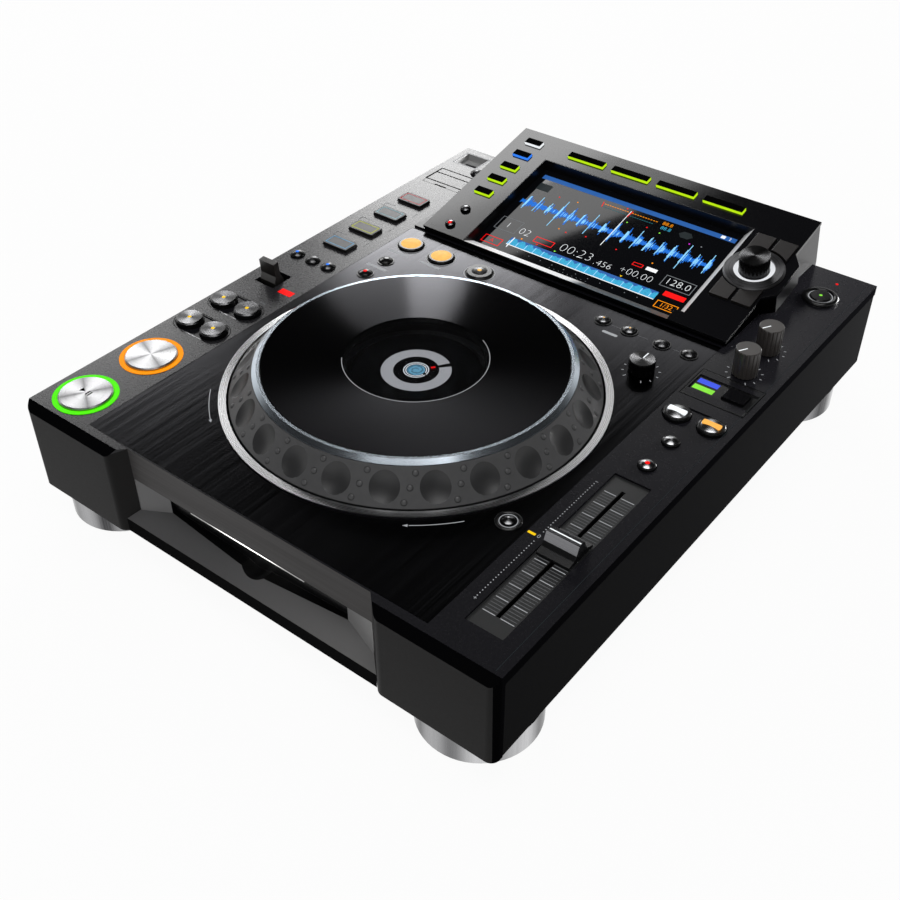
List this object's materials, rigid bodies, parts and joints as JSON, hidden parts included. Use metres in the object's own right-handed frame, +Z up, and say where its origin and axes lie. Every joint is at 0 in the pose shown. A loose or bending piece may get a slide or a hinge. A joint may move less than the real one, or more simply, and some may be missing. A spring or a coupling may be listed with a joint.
{
  "type": "tabletop disc player",
  "caption": "Flat tabletop DJ disc player with a large jog wheel, tilted touch display, front disc slot, tempo slider, transport keys and round feet.",
  "frame": {"origin": "middle of the box that holds the player, on the table plane", "axes": "+X to the right, +Y to the back, +Z up"},
  "size_m": [0.32, 0.405, 0.1063],
  "materials": {
    "case_plastic": "dark grey moulded top case with a fine satin texture",
    "side_plastic": "dark textured lower case",
    "deck_metal": "black anodised aluminium, brushed front to back",
    "fascia_plastic": "black moulded disc mouth",
    "light_guide": "translucent lamp windows, lit",
    "panel_gloss": "glossy black display bezel",
    "screen_lit": "lit colour display",
    "foot_metal": "silver ring feet",
    "foot_rubber": "black rubber pads",
    "screw_steel": "zinc plated screws",
    "socket_metal": "plated sockets",
    "board_green": "circuit boards with parts",
    "drive_steel": "folded drive sheet steel",
    "inner_plastic": "black moulded inner part",
    "jog_rubber": "dark grey grip ring with dimples",
    "bright_metal": "bright turned aluminium",
    "jog_metal": "black turned plate with a fine circular grain",
    "window_clear": "clear tinted centre window",
    "jog_screen": "round display behind the window",
    "cap_metal": "radially brushed cap",
    "key_dark": "dark keys",
    "key_metal": "dark metallic keys",
    "pad_grey": "grey cue pads with a coloured outline",
    "loop_orange": "lit orange key",
    "knob_black": "black fluted knob with a white line",
    "slider_black": "black slider parts",
    "lens_parts": "moulded drive parts"
  },
  "bodies": {
    "root": {"top_case": "case_plastic", "bottom_case": "side_plastic", "deck_plate": "deck_metal", "slot_fascia": "fascia_plastic", "light_guides": "light_guide", "feet": "foot_metal", "foot_pads": "foot_rubber", "case_screws": "screw_steel", "sockets": "socket_metal", "circuit_boards": "board_green", "display_housing": "case_plastic", "display_panel": "panel_gloss", "screen": "screen_lit", "jog_base": "inner_plastic", "jog_display": "jog_screen", "trim_ring": "bright_metal", "slider_unit": "slider_black", "drive_chassis": "drive_steel"},
    "jog_dial": {"jog_dial": "jog_rubber", "jog_rim": "bright_metal"},
    "jog_plate": {"jog_plate": "jog_metal", "jog_window": "window_clear"},
    "play_button": {"play_button": "cap_metal"},
    "cue_button": {"cue_button": "cap_metal"},
    "search_back_button": {"search_back_button": "key_metal"},
    "search_forward_button": {"search_forward_button": "key_metal"},
    "track_back_button": {"track_back_button": "key_metal"},
    "track_forward_button": {"track_forward_button": "key_metal"},
    "direction_lever": {"direction_lever": "knob_black"},
    "bank_keys": {"bank_keys": "key_dark"},
    "pad_a": {"pad_a": "pad_grey"},
    "pad_b": {"pad_b": "pad_grey"},
    "pad_c": {"pad_c": "pad_grey"},
    "pad_d": {"pad_d": "pad_grey"},
    "sd_door": {"sd_door": "case_plastic"},
    "loop_in_button": {"loop_in_button": "loop_orange"},
    "loop_out_button": {"loop_out_button": "loop_orange"},
    "reloop_button": {"reloop_button": "key_dark"},
    "slip_keys": {"slip_keys": "key_dark"},
    "call_keys": {"call_keys": "key_dark"},
    "memory_keys": {"memory_keys": "key_dark"},
    "jog_adjust_knob": {"jog_adjust_knob": "knob_black"},
    "tempo_reset_button": {"tempo_reset_button": "key_dark"},
    "eject_button": {"eject_button": "key_dark"},
    "release_knob": {"release_knob": "knob_black"},
    "touch_knob": {"touch_knob": "knob_black"},
    "jog_mode_button": {"jog_mode_button": "key_dark"},
    "sync_keys": {"sync_keys": "key_dark"},
    "tempo_keys": {"tempo_keys": "key_dark"},
    "tempo_slider": {"tempo_slider": "slider_black"},
    "browse_keys": {"browse_keys": "key_dark"},
    "source_keys": {"source_keys": "key_dark"},
    "selector_shaft": {"selector_shaft": "inner_plastic"},
    "selector_knob": {"selector_knob": "bright_metal"},
    "selector_keys": {"selector_keys": "key_dark"},
    "traverse": {"traverse": "drive_steel"},
    "spindle": {"spindle": "lens_parts"},
    "pickup": {"pickup": "lens_parts"},
    "loading_roller": {"loading_roller": "foot_rubber"},
    "power_switch": {"power_switch": "key_dark"}
  },
  "joints": [
    {"name": "jog_turn", "type": "hinge", "parent": "root", "child": "jog_dial", "pos_m": [0, -0.0594, 0.0747], "axis": [0, 0, 1], "continuous": true},
    {"name": "jog_press", "type": "slide", "parent": "jog_dial", "child": "jog_plate", "axis": [0, 0, -1], "range_m": [0, 0.0005], "stiffness_N_per_m": 5000, "springref_m": -0.0008},
    {"name": "play_press", "type": "slide", "parent": "root", "child": "play_button", "axis": [0, 0, -1], "range_m": [0, 0.001], "stiffness_N_per_m": 800, "springref_m": -0.0008},
    {"name": "cue_press", "type": "slide", "parent": "root", "child": "cue_button", "axis": [0, 0, -1], "range_m": [0, 0.001], "stiffness_N_per_m": 800, "springref_m": -0.0008},
    {"name": "search_back_press", "type": "slide", "parent": "root", "child": "search_back_button", "axis": [0, 0, -1], "range_m": [0, 0.0006], "stiffness_N_per_m": 500, "springref_m": -0.0005},
    {"name": "search_forward_press", "type": "slide", "parent": "root", "child": "search_forward_button", "axis": [0, 0, -1], "range_m": [0, 0.0006], "stiffness_N_per_m": 500, "springref_m": -0.0005},
    {"name": "track_back_press", "type": "slide", "parent": "root", "child": "track_back_button", "axis": [0, 0, -1], "range_m": [0, 0.0006], "stiffness_N_per_m": 500, "springref_m": -0.0005},
    {"name": "track_forward_press", "type": "slide", "parent": "root", "child": "track_forward_button", "axis": [0, 0, -1], "range_m": [0, 0.0006], "stiffness_N_per_m": 500, "springref_m": -0.0005},
    {"name": "bank_keys_press", "type": "slide", "parent": "root", "child": "bank_keys", "axis": [0, 0, -1], "range_m": [0, 0.0006], "stiffness_N_per_m": 500, "springref_m": -0.0005},
    {"name": "pad_a_press", "type": "slide", "parent": "root", "child": "pad_a", "axis": [0, 0, -1], "range_m": [0, 0.0006], "stiffness_N_per_m": 500, "springref_m": -0.0005},
    {"name": "pad_b_press", "type": "slide", "parent": "root", "child": "pad_b", "axis": [0, 0, -1], "range_m": [0, 0.0006], "stiffness_N_per_m": 500, "springref_m": -0.0005},
    {"name": "pad_c_press", "type": "slide", "parent": "root", "child": "pad_c", "axis": [0, 0, -1], "range_m": [0, 0.0006], "stiffness_N_per_m": 500, "springref_m": -0.0005},
    {"name": "pad_d_press", "type": "slide", "parent": "root", "child": "pad_d", "axis": [0, 0, -1], "range_m": [0, 0.0006], "stiffness_N_per_m": 500, "springref_m": -0.0005},
    {"name": "loop_in_press", "type": "slide", "parent": "root", "child": "loop_in_button", "axis": [0, 0, -1], "range_m": [0, 0.0006], "stiffness_N_per_m": 500, "springref_m": -0.0005},
    {"name": "loop_out_press", "type": "slide", "parent": "root", "child": "loop_out_button", "axis": [0, 0, -1], "range_m": [0, 0.0006], "stiffness_N_per_m": 500, "springref_m": -0.0005},
    {"name": "reloop_press", "type": "slide", "parent": "root", "child": "reloop_button", "axis": [0, 0, -1], "range_m": [0, 0.0006], "stiffness_N_per_m": 500, "springref_m": -0.0005},
    {"name": "slip_keys_press", "type": "slide", "parent": "root", "child": "slip_keys", "axis": [0, 0, -1], "range_m": [0, 0.0006], "stiffness_N_per_m": 500, "springref_m": -0.0005},
    {"name": "call_keys_press", "type": "slide", "parent": "root", "child": "call_keys", "axis": [0, 0, -1], "range_m": [0, 0.0006], "stiffness_N_per_m": 500, "springref_m": -0.0005},
    {"name": "memory_keys_press", "type": "slide", "parent": "root", "child": "memory_keys", "axis": [0, 0, -1], "range_m": [0, 0.0006], "stiffness_N_per_m": 500, "springref_m": -0.0005},
    {"name": "tempo_reset_press", "type": "slide", "parent": "root", "child": "tempo_reset_button", "axis": [0, 0, -1], "range_m": [0, 0.0006], "stiffness_N_per_m": 500, "springref_m": -0.0005},
    {"name": "eject_press", "type": "slide", "parent": "root", "child": "eject_button", "axis": [0, 0, -1], "range_m": [0, 0.0006], "stiffness_N_per_m": 500, "springref_m": -0.0005},
    {"name": "jog_mode_press", "type": "slide", "parent": "root", "child": "jog_mode_button", "axis": [0, 0, -1], "range_m": [0, 0.0006], "stiffness_N_per_m": 500, "springref_m": -0.0005},
    {"name": "sync_keys_press", "type": "slide", "parent": "root", "child": "sync_keys", "axis": [0, 0, -1], "range_m": [0, 0.0006], "stiffness_N_per_m": 500, "springref_m": -0.0005},
    {"name": "tempo_keys_press", "type": "slide", "parent": "root", "child": "tempo_keys", "axis": [0, 0, -1], "range_m": [0, 0.0006], "stiffness_N_per_m": 500, "springref_m": -0.0005},
    {"name": "browse_keys_press", "type": "slide", "parent": "root", "child": "browse_keys", "axis": [0, 0.2227, -0.9749], "range_m": [0, 0.0006], "stiffness_N_per_m": 500, "springref_m": -0.0005},
    {"name": "source_keys_press", "type": "slide", "parent": "root", "child": "source_keys", "axis": [0, 0.2227, -0.9749], "range_m": [0, 0.0006], "stiffness_N_per_m": 500, "springref_m": -0.0005},
    {"name": "selector_keys_press", "type": "slide", "parent": "root", "child": "selector_keys", "axis": [0, 0.2227, -0.9749], "range_m": [0, 0.0006], "stiffness_N_per_m": 500, "springref_m": -0.0005},
    {"name": "selector_press", "type": "slide", "parent": "root", "child": "selector_shaft", "axis": [0, 0.2227, -0.9749], "range_m": [0, 0.0006], "stiffness_N_per_m": 700, "springref_m": -0.0006},
    {"name": "selector_turn", "type": "hinge", "parent": "selector_shaft", "child": "selector_knob", "pos_m": [0.1025, 0.13682, 0.0985], "axis": [0, -0.2227, 0.9749], "continuous": true},
    {"name": "lever_tilt", "type": "hinge", "parent": "root", "child": "direction_lever", "pos_m": [-0.143, -0.0266, 0.0657], "axis": [1, 0, 0], "range_deg": [-14, 2]},
    {"name": "release_turn", "type": "hinge", "parent": "root", "child": "release_knob", "pos_m": [0.138, 0.0909, 0.0747], "axis": [0, 0, 1], "range_deg": [-300, 0]},
    {"name": "touch_turn", "type": "hinge", "parent": "root", "child": "touch_knob", "pos_m": [0.138, 0.0624, 0.0747], "axis": [0, 0, 1], "range_deg": [-300, 0]},
    {"name": "jog_adjust_turn", "type": "hinge", "parent": "root", "child": "jog_adjust_knob", "pos_m": [0.091, 0.0289, 0.0747], "axis": [0, 0, 1], "range_deg": [-150, 150]},
    {"name": "tempo_slide", "type": "slide", "parent": "root", "child": "tempo_slider", "axis": [0, 1, 0], "range_m": [-0.05, 0.05]},
    {"name": "sd_door_swing", "type": "hinge", "parent": "root", "child": "sd_door", "pos_m": [-0.13825, 0.1514, 0.0738], "axis": [-1, 0, 0], "range_deg": [0, 95]},
    {"name": "power_rock", "type": "hinge", "parent": "root", "child": "power_switch", "pos_m": [-0.082, 0.1935, 0.0367], "axis": [-1, 0, 0], "range_deg": [0, 16]},
    {"name": "traverse_lift", "type": "hinge", "parent": "root", "child": "traverse", "pos_m": [0, -0.0445, 0.0353], "axis": [-1, 0, 0], "range_deg": [0, 2.5]},
    {"name": "spindle_turn", "type": "hinge", "parent": "traverse", "child": "spindle", "pos_m": [0, -0.1145, 0.0367], "axis": [0, 0, 1], "continuous": true},
    {"name": "pickup_travel", "type": "slide", "parent": "traverse", "child": "pickup", "axis": [0, 1, 0], "range_m": [0, 0.033]},
    {"name": "roller_turn", "type": "hinge", "parent": "root", "child": "loading_roller", "pos_m": [0, -0.1725, 0.0389], "axis": [1, 0, 0], "continuous": true}
  ]
}
